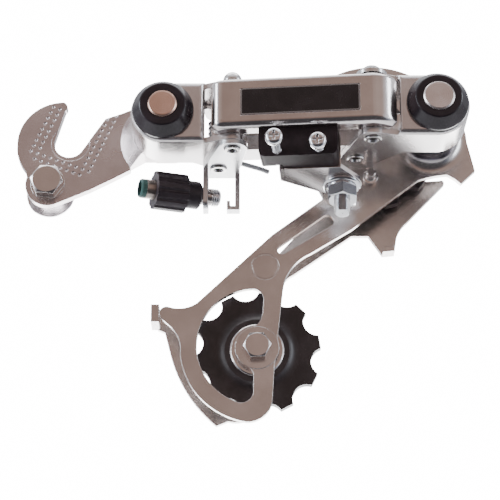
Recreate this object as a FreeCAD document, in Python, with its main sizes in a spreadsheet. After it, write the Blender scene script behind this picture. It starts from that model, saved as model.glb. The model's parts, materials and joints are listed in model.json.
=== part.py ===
import FreeCAD, Part
import math
import os
import Sketcher

# Rear bicycle derailleur with a claw hanger, in millimetres.
# +X points forwards along the bicycle, +Y inboard towards the wheel, +Z up.
# The origin is the wheel axle's centre in the claw slot, at the claw's inboard face.

Vector = FreeCAD.Vector
doc = FreeCAD.newDocument("rear_derailleur")
sheet = doc.addObject("Spreadsheet::Sheet", "dims")

SIZES = [
    # claw hanger
    ("slot_radius", 5.15), ("claw_thick", 3.0), ("boss_radius", 15.6), ("boss_top_radius", 11.0),
    ("boss_rise", 6.2), ("claw_bolt_x", -6.8), ("claw_bolt_z", -15.3), ("claw_bolt_radius", 3.0),
    ("coin_radius", 6.6), ("coin_depth", 0.35),
    ("dimple_radius", 0.62), ("dimple_x", -13.1), ("dimple_z", -2.95),
    ("hex_across_flats", 10.0), ("hex_height", 4.2), ("nut_shoulder_radius", 4.9),
    ("nut_shoulder_length", 6.2), ("nut_flange_radius", 8.2), ("nut_flange_thick", 1.4),
    # upper body, around the B axis
    ("axis_z", 1.0), ("b_axis_x", 33.3), ("b_front", -27.0), ("b_back", -9.3), ("b_reach", 13.8),
    ("body_radius", 10.8), ("body_round", 2.0), ("wall_thick", 3.0),
    ("ear_inner", 8.85), ("ear_thick", 1.95), ("lug_radius", 5.1),
    ("axle_radius", 4.0), ("b_head_radius", 4.8), ("p_head_radius", 5.15),
    ("bushing_radius", 5.6), ("spring_room", 9.0),
    ("axle_coil_radius", 7.3), ("axle_wire_radius", 0.85), ("running_gap", 0.05), ("face_gap", 0.1),
    ("cap_base_radius", 10.2), ("cap_top_radius", 7.4), ("cap_height", 5.4), ("cap_lip", 0.6),
    # lower body, around the P axis
    ("p_axis_x", 123.8), ("p_front", -33.0), ("p_back", -17.2), ("p_reach", 13.1),
    # four-bar linkage
    ("front_pivot_x", 56.3), ("front_pivot_y", -23.5), ("pivot_offset_x", -4.8), ("pivot_offset_y", 16.0),
    ("link_length", 46.6), ("link_angle", -6.0), ("link_half", 8.7), ("link_sheet", 1.6),
    ("link_face", -9.8), ("link_left", -6.4), ("link_right", 54.8), ("link_round", 2.6),
    ("link_top_round", 1.4),
    ("link_lip", -3.6), ("link_swing", 10.0), ("pin_radius", 1.75), ("pin_bore", 1.35),
    ("pin_head_radius", 2.9),
    ("pin_mouth", 1.8), ("pin_bore_depth", 3.8), ("pin_head_thick", 0.7), ("pin_dome", 3.0),
    ("pin_tall_dome", 4.8), ("pin_cone_radius", 5.1), ("pin_cone", 4.1), ("bracket_thick", 1.6),
    ("return_coil_radius", 2.8), ("return_wire_radius", 0.85), ("return_pitch", 1.85),
    ("return_level", -5.1), ("rear_web", -6.2), ("rear_flange", 4.0), ("rear_sheet", 1.5),
    # badge, limit block and its screws, in the front link's own axes
    ("badge_length", 39.2), ("badge_height", 9.6), ("badge_thick", 0.5), ("badge_centre", 23.4),
    ("block_left", 9.4), ("block_length", 25.8), ("block_front", -6.7), ("block_depth", 10.2),
    ("block_height", 9.8), ("block_round", 2.2),
    ("screw_radius", 1.5), ("screw_root_radius", 1.25), ("screw_head_radius", 2.95),
    ("screw_head_height", 2.2),
    ("low_screw_x", 15.4), ("low_screw_out", 9.6), ("high_screw_x", 29.1), ("high_screw_out", 5.2),
    ("screw_drop", 16.4), ("screw_inside", 9.8),
    ("arm_thick", 1.6), ("arm_tilt", 12.0), ("arm_drop", 19.0),
    ("anchor_x", 35.4), ("anchor_n", 13.7), ("anchor_radius", 2.5), ("anchor_washer_radius", 6.4),
    ("anchor_nut_flats", 9.4), ("anchor_nut_height", 4.4), ("anchor_stud", 3.6),
    ("anchor_root_radius", 2.15),
    # cable stop and barrel adjuster
    ("bracket_left", 46.3), ("bracket_right", 58.7), ("bracket_back", 1.0), ("bracket_front", -8.0),
    ("bracket_bottom", -25.4), ("cheek_thick", 1.7), ("strap_front", -3.0),
    ("adjuster_x", 46.9), ("adjuster_y", -4.2), ("adjuster_z", -20.4),
    ("adjuster_yaw", 19.0), ("tube_radius", 2.9), ("tube_root_radius", 2.7), ("tube_bore", 1.3),
    ("housing_radius", 2.6),
    ("knob_radius", 6.5), ("knob_neck_radius", 4.7), ("knob_left", -18.0), ("knob_length", 10.8),
    ("ferrule_left", -21.0), ("seal_length", 2.0),
    # cage
    ("outer_face", -3.4), ("cage_thick", 2.0), ("inner_face", 7.1),
    ("cup_radius", 8.4), ("cup_wall", 1.8), ("cup_flare", 4.4), ("p_plate_radius", 12.9),
    ("guide_x", 104.4), ("guide_z", -0.8),
    ("tension_x", 64.5), ("tension_z", -73.9), ("pulley_middle", 2.85),
    ("stop_x", 103.1), ("stop_z", -13.65), ("stop_radius", 1.6), ("stop_base_radius", 2.5),
    ("stop_length", 6.0),
    # jockey wheels
    ("teeth", 10), ("tip_radius", 21.25), ("valley_radius", 4.85), ("valley_circle", 22.9),
    ("tooth_thick", 3.0), ("hub_half", 3.1), ("hub_radius", 10.8), ("web_radius", 14.4),
    ("wheel_bore", 4.05), ("wheel_bolt_radius", 2.5), ("wheel_bolt_flats", 8.2),
    ("wheel_sleeve_radius", 4.0),
    ("dust_cap_radius", 9.0), ("dust_cap_thick", 0.95),
]

for row, (alias, number) in enumerate(SIZES, start=1):
    sheet.set(f"A{row}", alias)
    sheet.set(f"B{row}", str(number))
    sheet.setAlias(f"B{row}", alias)
doc.recompute()

NODES = []


def size(alias):
    return float(sheet.get(alias))


def keep(obj, label):
    """Name a finished sub-part after its node."""
    obj.Label = label
    NODES.append(obj)
    return obj


def polar(centre_x, centre_y, radius, degrees):
    angle = math.radians(degrees)
    return centre_x + radius * math.cos(angle), centre_y + radius * math.sin(angle)


# ---------- PartDesign helpers ----------

def new_body(name):
    return doc.addObject("PartDesign::Body", name)


def new_sketch(body, role, level="0"):
    """Sketch on one of the body's own origin planes, raised by the expression level."""
    plane = [item for item in body.Origin.OriginFeatures if item.Role == role][0]
    sketch = body.newObject("Sketcher::SketchObject", body.Name + "_sketch")
    sketch.AttachmentSupport = [(plane, "")]
    sketch.MapMode = "FlatFace"
    sketch.setExpression("AttachmentOffset.Base.z", level)
    return sketch


def outline(sketch, start, steps):
    """Closed outline: a step of two numbers is a line, of four an arc through a middle point."""
    here = Vector(start[0], start[1], 0)
    for step in steps + [start]:
        there = Vector(step[-2], step[-1], 0)
        if there.distanceToPoint(here) < 1e-6:
            continue
        if len(step) == 4:
            middle = Vector(step[0], step[1], 0)
            sketch.addGeometry(Part.Arc(here, middle, there))
        else:
            sketch.addGeometry(Part.LineSegment(here, there))
        here = there


def circle(sketch, x, y, radius):
    """Circle whose radius follows an expression of the sheet."""
    index = sketch.addGeometry(Part.Circle(Vector(x, y, 0), Vector(0, 0, 1), 1.0))
    constraint = sketch.addConstraint(Sketcher.Constraint("Radius", index, 1.0))
    sketch.setExpression(f"Constraints[{constraint}]", radius)


def rectangle(sketch, low_x, low_y, high_x, high_y):
    outline(sketch, (low_x, low_y), [(high_x, low_y), (high_x, high_y), (low_x, high_y)])


def hexagon(sketch, centre_x, centre_y, across_flats, turn=0.0):
    radius = across_flats / math.sqrt(3)
    corners = [polar(centre_x, centre_y, radius, turn + 60 * k) for k in range(6)]
    outline(sketch, corners[0], corners[1:])


def pad(body, sketch, length, backwards=False, midplane=False):
    feature = body.newObject("PartDesign::Pad", body.Name + "_pad")
    feature.Profile = sketch
    feature.setExpression("Length", length)
    feature.Reversed = backwards
    feature.Midplane = midplane
    doc.recompute()
    return feature


def pocket(body, sketch, length, backwards=False, midplane=False):
    """Cut along the sketch's normal, the way a pad grows."""
    before = body.Shape.Volume
    feature = body.newObject("PartDesign::Pocket", body.Name + "_pocket")
    feature.Profile = sketch
    feature.setExpression("Length", length)
    feature.Reversed = not backwards
    feature.Midplane = midplane
    doc.recompute()
    if before - body.Shape.Volume < 1e-3:
        raise ValueError(f"pocket in {body.Name} cuts nothing")
    return feature


def revolve(body, sketch, axis):
    feature = body.newObject("PartDesign::Revolution", body.Name + "_turned")
    feature.Profile = sketch
    feature.ReferenceAxis = (sketch, [axis])
    feature.Angle = 360
    doc.recompute()
    return feature


def round_edges(body, radius, chosen):
    """Fillet the edges of the body's tip that the test picks."""
    tip = body.Tip
    names = [f"Edge{n}" for n, edge in enumerate(tip.Shape.Edges, start=1) if chosen(edge)]
    feature = body.newObject("PartDesign::Fillet", body.Name + "_round")
    feature.Base = (tip, names)
    feature.setExpression("Radius", radius)
    doc.recompute()
    return feature


def place(obj, x="0", y="0", z="0"):
    obj.setExpression("Placement.Base.x", x)
    obj.setExpression("Placement.Base.y", y)
    obj.setExpression("Placement.Base.z", z)


def place_on_front_link(obj):
    """The front link's own axes: x along the link from its front B pivot, y inboard."""
    obj.Placement.Rotation = FreeCAD.Rotation(Vector(0, 0, 1), size("link_angle"))
    obj.setExpression("Placement.Rotation.Angle", "dims.link_angle")
    place(obj, "dims.front_pivot_x", "dims.front_pivot_y", "dims.axis_z")


def turned(name, axis, start, steps):
    """Turned piece about its local Y, Z or X axis; the profile is (radius, along) pairs."""
    body = new_body(name)
    if axis == "X":
        sketch = new_sketch(body, "XY_Plane")
        outline(sketch, start, steps)
        revolve(body, sketch, "H_Axis")
        return body
    sketch = new_sketch(body, "XY_Plane" if axis == "Y" else "XZ_Plane")
    outline(sketch, start, steps)
    revolve(body, sketch, "V_Axis")
    return body


def ring_profile(inner, outer, low, high):
    return (inner, low), [(outer, low), (outer, high), (inner, high)]


def along_y(edge, level):
    box = edge.BoundBox
    return abs(box.YMin - level) < 1e-4 and abs(box.YMax - level) < 1e-4


def helix_spring(name, coil_radius, wire_radius, pitch, height):
    """Coil about local Z: a round wire swept along a helix."""
    spine = Part.makeHelix(pitch, height, coil_radius)
    start = spine.Edges[0]
    first = start.FirstParameter
    section = Part.makeCircle(wire_radius, start.valueAt(first), start.tangentAt(first))
    coil = doc.addObject("Part::Feature", name)
    coil.Shape = Part.Wire(spine.Edges).makePipeShell([Part.Wire([section])], True, True)
    return coil


# ---------- claw hanger ----------

def hanger_plate():
    """Stamped claw with an axle slot, a bolt lobe and a raised boss for the B axle."""
    slot = size("slot_radius")
    bolt_x, bolt_z = size("claw_bolt_x"), size("claw_bolt_z")
    boss_x, boss_z = size("b_axis_x"), size("axis_z")
    boss = size("boss_radius")
    lobe = 7.7
    slot_left = polar(0, 0, slot, 162)
    slot_bottom = polar(0, 0, slot, -95)
    slot_right = polar(0, 0, slot, -30)
    body = new_body("claw")
    sketch = new_sketch(body, "XZ_Plane")
    outline(sketch, (-1.8, 12.3), [
        (-1.2, 14.3, -2.6, 15.6),
        (-13.4, 11.0, -17.9, -0.8),
        (-17.3, -5.6, -14.8, -10.2),
        polar(bolt_x, bolt_z, lobe, 160),
        polar(bolt_x, bolt_z, lobe, 205) + polar(bolt_x, bolt_z, lobe, 290),
        (7.7, -17.3),
        (15.1, -13.4),
        polar(boss_x, boss_z, boss, 223),
        polar(boss_x, boss_z, boss, 0) + polar(boss_x, boss_z, boss, 116),
        (17.8, 11.3),
        (12.2, 9.3),
        slot_right,
        slot_bottom + slot_left,
    ])
    circle(sketch, bolt_x, bolt_z, "dims.claw_bolt_radius + dims.running_gap")
    pad(body, sketch, "dims.claw_thick")
    coin = new_sketch(body, "XZ_Plane", "dims.claw_thick")
    circle(coin, 0.4, 0, "dims.coin_radius")
    pocket(body, coin, "dims.coin_depth", backwards=True)
    rise = doc.addObject("Part::Cone", "boss_rise_cone")
    rise.setExpression("Radius1", "dims.boss_radius")
    rise.setExpression("Radius2", "dims.boss_top_radius")
    rise.setExpression("Height", "dims.boss_rise")
    rise.Placement.Rotation = FreeCAD.Rotation(Vector(1, 0, 0), 90)
    place(rise, "dims.b_axis_x", "-dims.claw_thick", "dims.axis_z")
    blank = doc.addObject("Part::Fuse", "claw_blank")
    blank.Base = body
    blank.Tool = rise
    hole = doc.addObject("Part::Cylinder", "boss_hole")
    hole.setExpression("Radius", "dims.axle_radius")
    hole.setExpression("Height", "dims.claw_thick + dims.boss_rise")
    hole.Placement.Rotation = FreeCAD.Rotation(Vector(1, 0, 0), 90)
    place(hole, "dims.b_axis_x", "0", "dims.axis_z")
    bored = doc.addObject("Part::Cut", "bored_claw")
    bored.Base = blank
    bored.Tool = hole
    level = doc.addObject("Part::Cut", "levelled_claw")
    level.Base = bored
    level.Tool = boss_trim()
    plate = doc.addObject("Part::Cut", "hanger_plate")
    plate.Base = level
    plate.Tool = claw_dimples()
    return keep(plate, "hanger_plate")


def boss_trim():
    """What is cropped off the boss below the upper body and towards the links."""
    body = new_body("boss_trim")
    sketch = new_sketch(body, "XZ_Plane", "-1")
    outline(sketch, (21.2, -9.0), [
        (26.2, -6.0), (45.4, -6.0), (45.4, 18.0), (52.0, 18.0), (52.0, -20.0), (21.2, -20.0)])
    pad(body, sketch, "dims.claw_thick + dims.boss_rise + 2")
    return body


def claw_dimples():
    """Punch marks that grip the axle nut: two rows up each side of the slot, two rows below it."""
    across_x, across_z = 2.236, -0.851
    up_x, up_z = 0.888, 2.085
    spots = [(column, row) for column in (0, 1) for row in range(9)]
    spots += [(column, -1) for column in range(1, 9)]
    spots += [(column, 0) for column in range(2, 8)]
    spots += [(9, row) for row in range(11)]
    spots += [(8, row) for row in range(10)]
    punches = []
    for column, row in spots:
        x = size("dimple_x") + column * across_x + row * up_x
        z = size("dimple_z") + column * across_z + row * up_z
        centre = Vector(x, -size("claw_thick") - 0.3, z)
        punches.append(Part.makeSphere(size("dimple_radius"), centre))
    marks = doc.addObject("Part::Feature", "claw_dimples")
    marks.Shape = Part.makeCompound(punches)
    return marks


def hex_head(body, level, across_flats, height, turn):
    """Forged hex head facing outboard, its corners trimmed by a cone down to a round face."""
    flats = size(across_flats)
    sketch = new_sketch(body, "XZ_Plane", level)
    hexagon(sketch, 0, 0, flats, turn)
    pad(body, sketch, height)
    face = -body.Shape.BoundBox.YMin
    corner = flats / math.sqrt(3)
    flat_face = 0.465 * flats
    slope = math.tan(math.radians(30))
    trim = new_sketch(body, "XY_Plane")
    beyond = corner + 0.2
    outline(trim, (flat_face, -face - 0.1), [
        (flat_face, -face), (beyond, -face + (beyond - flat_face) * slope), (beyond, -face - 0.1)])
    groove = body.newObject("PartDesign::Groove", body.Name + "_trim")
    groove.Profile = trim
    groove.ReferenceAxis = (trim, ["V_Axis"])
    groove.Angle = 360
    doc.recompute()
    return groove


def hanger_bolt():
    body = new_body("hanger_bolt")
    shank = new_sketch(body, "XZ_Plane", "-dims.nut_shoulder_length - dims.nut_flange_thick - 0.6")
    circle(shank, 0, 0, "dims.claw_bolt_radius")
    pad(body, shank, "dims.nut_shoulder_length + dims.nut_flange_thick + 0.6 + dims.claw_thick")
    collar = new_sketch(body, "XZ_Plane", "dims.claw_thick")
    circle(collar, 0, 0, "dims.hex_across_flats / 2 + 0.9")
    pad(body, collar, "0.7")
    hex_head(body, "dims.claw_thick + 0.7", "hex_across_flats", "dims.hex_height", -6)
    place(body, "dims.claw_bolt_x", "0", "dims.claw_bolt_z")
    return keep(body, "hanger_bolt")


def hanger_nut():
    """Shouldered nut: the shoulder sits in the dropout slot, the flange behind it."""
    inner = size("claw_bolt_radius")
    shoulder = size("nut_shoulder_radius")
    flange = size("nut_flange_radius")
    length = size("nut_shoulder_length")
    end = length + size("nut_flange_thick")
    body = turned("hanger_nut", "Y", (inner, 0), [
        (shoulder, 0), (shoulder, length), (flange, length), (flange, end - 0.6),
        (flange - 0.6, end), (inner, end)])
    place(body, "dims.claw_bolt_x", "0", "dims.claw_bolt_z")
    return keep(body, "hanger_nut")


# ---------- axle bolts, caps, bushings and springs of the two bodies ----------

def axle_bolt(label, head, front, tail, axis_x):
    """Headed axle bolt; its head shows as a plain disc in the cap."""
    shank = size("axle_radius")
    face = front - size("cap_height") - size("cap_lip")
    seat = front - size("face_gap")
    body = turned(label, "Y", (0, face), [
        (head - 0.5, face), (head, face + 0.5), (head, seat), (shank, seat),
        (shank, tail - 0.6), (shank - 0.6, tail), (0, tail)])
    place(body, axis_x, "0", "dims.axis_z")
    return keep(body, label)


def axle_cap(label, head, front, axis_x):
    """Conical plastic cap with a central hole for the bolt's head."""
    hole = head + 0.1
    base = size("cap_base_radius")
    top = size("cap_top_radius")
    face = front - size("cap_height")
    body = turned(label, "Y", (hole, front), [
        (base, front), (base, front - 0.9), (base - 0.25, front - 1.5),
        (top + 0.3, face + 0.25), (top - 0.1, face), (hole, face)])
    place(body, axis_x, "0", "dims.axis_z")
    return keep(body, label)


def axle_bushing(label, front, back, axis_x):
    body = turned(label, "Y", *ring_profile(
        size("axle_radius") + size("running_gap"), size("bushing_radius"), front, back))
    place(body, axis_x, "0", "dims.axis_z")
    return keep(body, label)


def axle_spring(label, front, axis_x):
    coil = helix_spring(label, size("axle_coil_radius"), size("axle_wire_radius"), 2.3, 9.2)
    coil.Placement.Rotation = FreeCAD.Rotation(Vector(1, 0, 0), -90)
    place(coil, axis_x, front, "dims.axis_z")
    return keep(coil, label)


def lock_nut(label, front, across_flats, axis_x):
    body = new_body(label)
    sketch = new_sketch(body, "XZ_Plane")
    hexagon(sketch, 0, 0, across_flats, 0)
    circle(sketch, 0, 0, "dims.axle_radius")
    pad(body, sketch, "2.8", backwards=True)
    place(body, axis_x, front, "dims.axis_z")
    return keep(body, label)


# ---------- the two knuckles ----------

def ear_pair(body, start, steps):
    """Two flat ears, above and below the axis, from one plan outline."""
    for backwards, level in ((False, "dims.ear_inner"), (True, "-dims.ear_inner")):
        sketch = new_sketch(body, "XY_Plane", level)
        outline(sketch, start, steps)
        pad(body, sketch, "dims.ear_thick", backwards)


def pin_holes(body, points):
    sketch = new_sketch(body, "XY_Plane")
    for x, y in points:
        circle(sketch, x, y, "dims.pin_radius")
    pocket(body, sketch, "60", midplane=True)


def knuckle_bores(body, front, back):
    """Bushing hole through the front wall and a spring room open at the back."""
    hole = new_sketch(body, "XZ_Plane", f"-({back})")
    circle(hole, 0, 0, "dims.bushing_radius")
    pocket(body, hole, f"{back} - ({front})", backwards=False)
    room = new_sketch(body, "XZ_Plane", f"-({back})")
    circle(room, 0, 0, "dims.spring_room")
    pocket(body, room, f"{back} - ({front}) - dims.wall_thick", backwards=False)


def knuckle_block(name, reach, front, back):
    """Round-ended block about the axle, squared towards the links, with rounded edges."""
    radius = size("body_radius")
    side = 1 if reach > 0 else -1
    body = new_body(name)
    sketch = new_sketch(body, "XZ_Plane", f"-({back})")
    outline(sketch, (0, radius), [(-side * radius, 0, 0, -radius), (reach, -radius), (reach, radius)])
    pad(body, sketch, f"{back} - ({front})")
    front_level = size(front.split(".")[1])
    round_edges(body, "dims.body_round", lambda edge: along_y(edge, front_level))
    return body


def link_hollow(body, near, far, front, back):
    """Space between the ears where the links swing, open away from the axle."""
    half = size("ear_inner")
    sketch = new_sketch(body, "XZ_Plane", f"-({back})")
    rectangle(sketch, min(near, far), -half, max(near, far), half)
    pocket(body, sketch, f"{back} - ({front}) - dims.wall_thick")


def b_knuckle():
    """Upper body: block, two ears with the B pivots."""
    lug = size("lug_radius")
    front_x = size("front_pivot_x") - size("b_axis_x")
    front_y = size("front_pivot_y")
    rear_x = front_x + size("pivot_offset_x")
    rear_y = front_y + size("pivot_offset_y")
    reach = size("b_reach")
    body = knuckle_block("b_body", reach, "dims.b_front", "dims.b_back")
    link_hollow(body, 11.0, reach + 1, "dims.b_front", "dims.b_back")
    turn = math.degrees(math.atan2(size("pivot_offset_y"), size("pivot_offset_x"))) - 90
    ear_pair(body, (8.5, size("b_back")), [
        (8.5, size("b_front") + 2),
        (reach, size("b_front") + 2),
        polar(front_x, front_y, lug, -110),
        polar(front_x, front_y, lug, -50) + polar(front_x, front_y, lug, turn),
        polar(rear_x, rear_y, lug, turn),
        polar(rear_x, rear_y, lug, 70) + polar(rear_x, rear_y, lug, 160),
    ])
    pin_holes(body, [(front_x, front_y), (rear_x, rear_y)])
    knuckle_bores(body, "dims.b_front", "dims.b_back")
    place(body, "dims.b_axis_x", "0", "dims.axis_z")
    return keep(body, "b_knuckle")


def p_pivots():
    """The two P-side pivots in plan, as absolute points."""
    angle = math.radians(size("link_angle"))
    front_x = size("front_pivot_x") + size("link_length") * math.cos(angle)
    front_y = size("front_pivot_y") + size("link_length") * math.sin(angle)
    return front_x, front_y, front_x + size("pivot_offset_x"), front_y + size("pivot_offset_y")


def p_knuckle():
    """Lower body: block, two ears with the P pivots, and a tab for the cage's stop pin."""
    lug = size("lug_radius")
    axis_x = size("p_axis_x")
    front_x, front_y, rear_x, rear_y = p_pivots()
    front_x -= axis_x
    rear_x -= axis_x
    reach = -size("p_reach")
    body = knuckle_block("p_body", reach, "dims.p_front", "dims.p_back")
    link_hollow(body, reach - 1, -11.0, "dims.p_front", "dims.p_back")
    turn = math.degrees(math.atan2(size("pivot_offset_y"), size("pivot_offset_x"))) - 90
    ear_pair(body, (-6.0, size("p_back")), [
        (-10.5, size("p_back")),
        (-18.8, -8.4),
        (-20.4, -6.9, -22.0, -6.9),
        polar(rear_x, rear_y, lug, 75),
        polar(rear_x, rear_y, lug, 120) + polar(rear_x, rear_y, lug, turn + 180),
        polar(front_x, front_y, lug, turn + 180),
        polar(front_x, front_y, lug, -120) + polar(front_x, front_y, lug, -60),
        (reach, size("p_front") + 2),
        (-6.0, size("p_front") + 2),
    ])
    tab = new_sketch(body, "XY_Plane", "-dims.ear_inner - dims.ear_thick")
    rectangle(tab, -22.2, -9.4, -19.9, -8.2)
    pad(body, tab, "2.15", backwards=True)
    swing = new_sketch(body, "XY_Plane")
    circle(swing, front_x, front_y, "dims.link_swing")
    pocket(body, swing, "2 * dims.ear_inner", midplane=True)
    pin_holes(body, [(front_x, front_y), (rear_x, rear_y)])
    knuckle_bores(body, "dims.p_front", "dims.p_back")
    place(body, "dims.p_axis_x", "0", "dims.axis_z")
    return keep(body, "p_knuckle")


# ---------- linkage ----------

def pivot_pin(label, x, y, top_style, extra_below):
    """Hollow rivet through both ears: formed head on top, rolled ring below."""
    radius = size("pin_radius")
    bore = size("pin_bore")
    mouth = size("pin_mouth")
    head = size("pin_head_radius")
    top = size("ear_inner") + size("ear_thick")
    bottom = -top - extra_below
    ring = bottom - size("pin_head_thick")
    dome = top + size("pin_dome")
    rim = head + 0.3
    if top_style == "dome":
        cap = [(rim, top), (rim, top + 0.7), (rim - 0.3, top + 1.5), (rim - 0.9, dome - 0.65),
               (rim - 1.6, dome - 0.2), (rim - 2.3, dome), (0, dome)]
    elif top_style == "tall dome":
        dome = top + size("pin_tall_dome")
        middle = rim * math.sqrt(0.5)
        cap = [(rim, top), (rim, dome - rim), (middle, dome - rim + middle, 0, dome)]
    else:
        wide = size("pin_cone_radius")
        dome = top + size("pin_cone")
        cap = [(rim, top), (wide, top + 0.6), (wide, top + 1.9), (2.35, dome), (0, dome)]
    floor = ring + size("pin_bore_depth")
    body = turned(label, "Z", (0, floor + 0.8), [
        (bore, floor), (bore, bottom), (mouth, ring), (head - 0.3, ring),
        (head, ring + 0.3), (head, bottom), (radius, bottom), (radius, top)] + cap)
    place(body, x, y, "dims.axis_z")
    return keep(body, label)


def front_link():
    """Drawn tray with lugs round its pins, and the cable arm that hangs from its lower edge."""
    half = size("link_half")
    sheet_thick = size("link_sheet")
    face = size("link_face")
    left, right = size("link_left"), size("link_right")
    lip = size("link_lip")
    lug = 3.5
    length = size("link_length")
    body = new_body("front_link")
    plan = new_sketch(body, "XY_Plane")
    corner = 4.2
    near = 0.293 * corner
    outline(plan, (left, lip), [
        (left, face + corner),
        (left + near, face + near, left + corner, face),
        (length + 0.6, face),
        (length + 5.7, face + 2.2, right, face + 5.2),
        (right, lip),
        (length + 2.6, lip),
        polar(length, 0, lug, -45),
        polar(length, 0, lug, 90) + polar(length, 0, lug, 225),
        (length - 5.0, lip),
        (5.0, lip),
        polar(0, 0, lug, -45),
        polar(0, 0, lug, 90) + polar(0, 0, lug, 225),
        (-2.8, lip),
    ])
    pad(body, plan, "2 * dims.link_half", midplane=True)
    round_edges(body, "dims.link_round", lambda edge: front_rim(edge, -half))
    round_edges(body, "dims.link_top_round", lambda edge: front_rim(edge, half))
    inside = new_sketch(body, "XY_Plane")
    inner_left, inner_right = left + sheet_thick, right - sheet_thick
    inner_face = face + sheet_thick
    small = corner - sheet_thick
    outline(inside, (inner_left, 6.0), [
        (inner_left, inner_face + small),
        (inner_left + 0.293 * small, inner_face + 0.293 * small, inner_left + small, inner_face),
        (length, inner_face),
        (length + 4.7, inner_face + 2.1, inner_right, inner_face + 4.4),
        (inner_right, 6.0),
    ])
    pocket(body, inside, "2 * (dims.link_half - dims.link_sheet)", midplane=True)
    recess = new_sketch(body, "XZ_Plane", "-dims.link_face")
    middle = size("badge_centre")
    wide, tall = size("badge_length") / 2, size("badge_height") / 2
    rectangle(recess, middle - wide, -tall, middle + wide, tall)
    pocket(body, recess, "0.4", backwards=True)
    pin_running_holes(body, [(0, 0), (length, 0)])
    cable_arm(body)
    place_on_front_link(body)
    return keep(body, "front_link")


def front_rim(edge, level):
    """Edges at this level where the tray's face and ends roll into its top or bottom."""
    box = edge.BoundBox
    lip = size("link_lip")
    flat = box.ZMax - box.ZMin < 1e-4
    outside = abs(box.ZMax - level) < 1e-3
    return flat and outside and box.YMin < lip - 0.1 and box.YMax < lip + 0.01


def pin_running_holes(body, points):
    sketch = new_sketch(body, "XY_Plane")
    for x, y in points:
        circle(sketch, x, y, "dims.pin_radius + dims.running_gap")
    pocket(body, sketch, "60", midplane=True)


def cable_arm(body):
    """Tongue from the lower edge, bent down behind the block and then inboard."""
    left = size("block_left")
    right = left + size("block_length")
    back = size("block_front") + size("block_depth")
    thick = size("arm_thick")
    near, far = left + 5.8, right + 0.5
    tongue = new_sketch(body, "XY_Plane", "-dims.link_half")
    rectangle(tongue, near, size("link_lip") - 1.5, far, back + thick)
    pad(body, tongue, "dims.link_sheet")
    leg = new_sketch(body, "XY_Plane", "-dims.link_half")
    rectangle(leg, near, back, far, back + thick)
    pad(body, leg, "dims.arm_drop - dims.link_half - 0.2", backwards=True)
    arm = new_sketch(body, "XY_Plane", "0")
    arm.setExpression("AttachmentOffset.Rotation.Angle", "-dims.arm_tilt")
    arm.AttachmentOffset.Rotation = FreeCAD.Rotation(Vector(1, 0, 0), -size("arm_tilt"))
    tilt = math.radians(size("arm_tilt"))
    arm.setExpression("AttachmentOffset.Base.y", "dims.block_front + dims.block_depth")
    arm.setExpression("AttachmentOffset.Base.z", "-dims.arm_drop")
    anchor_x = size("anchor_x")
    reach = (size("anchor_n") - back) / math.cos(tilt)
    boss = size("anchor_washer_radius") + 0.2
    outline(arm, (near, 0), [
        (far - 0.2, 0),
        polar(anchor_x, reach, boss, -25),
        polar(anchor_x, reach, boss, 30) + polar(anchor_x, reach, boss, 100),
        (left + 21.6, reach + 5.4),
        (near, 6.3),
    ])
    circle(arm, anchor_x, reach, "dims.anchor_radius + dims.running_gap")
    pad(body, arm, "dims.arm_thick")


def link_badge():
    """Plain name-plate blank set into the front link's face."""
    body = new_body("link_badge")
    sketch = new_sketch(body, "XZ_Plane", "-dims.link_face - 0.4")
    middle = size("badge_centre")
    wide, tall = size("badge_length") / 2 - 0.05, size("badge_height") / 2 - 0.05
    rectangle(sketch, middle - wide, -tall, middle + wide, tall)
    pad(body, sketch, "dims.badge_thick")
    round_edges(body, "0.8", lambda edge: abs(edge.BoundBox.YLength - size("badge_thick")) < 1e-4)
    place_on_front_link(body)
    return keep(body, "link_badge")


def rear_link():
    """Inner channel of the linkage: a web outboard of its pins and two flanges."""
    web = size("rear_web")
    edge = size("rear_flange")
    thick = size("rear_sheet")
    length = size("link_length")
    lug = 4.6
    body = new_body("rear_link")
    plan = new_sketch(body, "XY_Plane")
    outline(plan, (-lug, 0), [
        (-lug, web + 1.5),
        (-lug + 0.4, web + 0.4, -lug + 1.5, web),
        (length + lug - 1.5, web),
        (length + lug - 0.4, web + 0.4, length + lug, web + 1.5),
        (length + lug, 0),
        polar(length, 0, lug, 45) + polar(length, 0, lug, 60),
        (length - 4.0, edge - 1.4),
        (4.0, edge - 1.4),
        polar(0, 0, lug, 120),
        polar(0, 0, lug, 135) + polar(0, 0, lug, 180),
    ])
    pad(body, plan, "2 * dims.link_half", midplane=True)
    inside = new_sketch(body, "XY_Plane")
    rectangle(inside, -lug - 1, web + thick, length + lug + 1, 8.0)
    pocket(body, inside, "2 * (dims.link_half - dims.rear_sheet)", midplane=True)
    notch = new_sketch(body, "XY_Plane")
    rectangle(notch, -lug - 1, web - 1, -1.9, web + 4.0)
    pocket(body, notch, "2 * (dims.link_half - dims.rear_sheet)", midplane=True)
    pin_running_holes(body, [(0, 0), (length, 0)])
    body.Placement.Rotation = FreeCAD.Rotation(Vector(0, 0, 1), size("link_angle"))
    body.setExpression("Placement.Rotation.Angle", "dims.link_angle")
    place(body, "dims.front_pivot_x + dims.pivot_offset_x",
          "dims.front_pivot_y + dims.pivot_offset_y", "dims.axis_z")
    return keep(body, "rear_link")


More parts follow.
